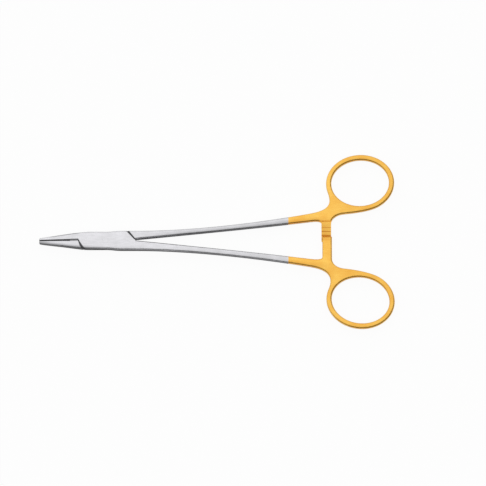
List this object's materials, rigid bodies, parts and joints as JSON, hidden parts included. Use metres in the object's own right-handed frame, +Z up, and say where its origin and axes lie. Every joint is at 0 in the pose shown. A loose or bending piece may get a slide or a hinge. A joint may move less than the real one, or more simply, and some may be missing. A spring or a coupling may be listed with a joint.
{
  "type": "surgical needle holder",
  "caption": "Ratcheted needle holder with inserted straight jaws, a box joint, satin steel shanks and gold finger rings that open and close on a pivot.",
  "frame": {"origin": "on the pivot axis, at the lower face of the box on which the instrument lies", "axes": "+X from the pivot along the closed instrument towards the finger rings, +Y across it towards the male half's ring, +Z up along the pivot axis"},
  "size_m": [0.1793, 0.0886, 0.0056],
  "materials": {
    "satin_steel": "satin stainless steel; finger rings, ratchet arms and the ends of the shanks gold plated",
    "jaw_insert": "hard metal with a cross-cut gripping face",
    "pin_steel": "satin stainless steel, ground flush with the box"
  },
  "bodies": {
    "female": {"female_half": "satin_steel", "upper_jaw_insert": "jaw_insert", "pivot_pin": "pin_steel"},
    "male": {"male_half": "satin_steel", "lower_jaw_insert": "jaw_insert"}
  },
  "joints": [
    {"name": "pivot", "type": "hinge", "parent": "female", "child": "male", "pos_m": [0, 0, 0.0028], "axis": [0, 0, 1], "range_deg": [0, 30]}
  ]
}
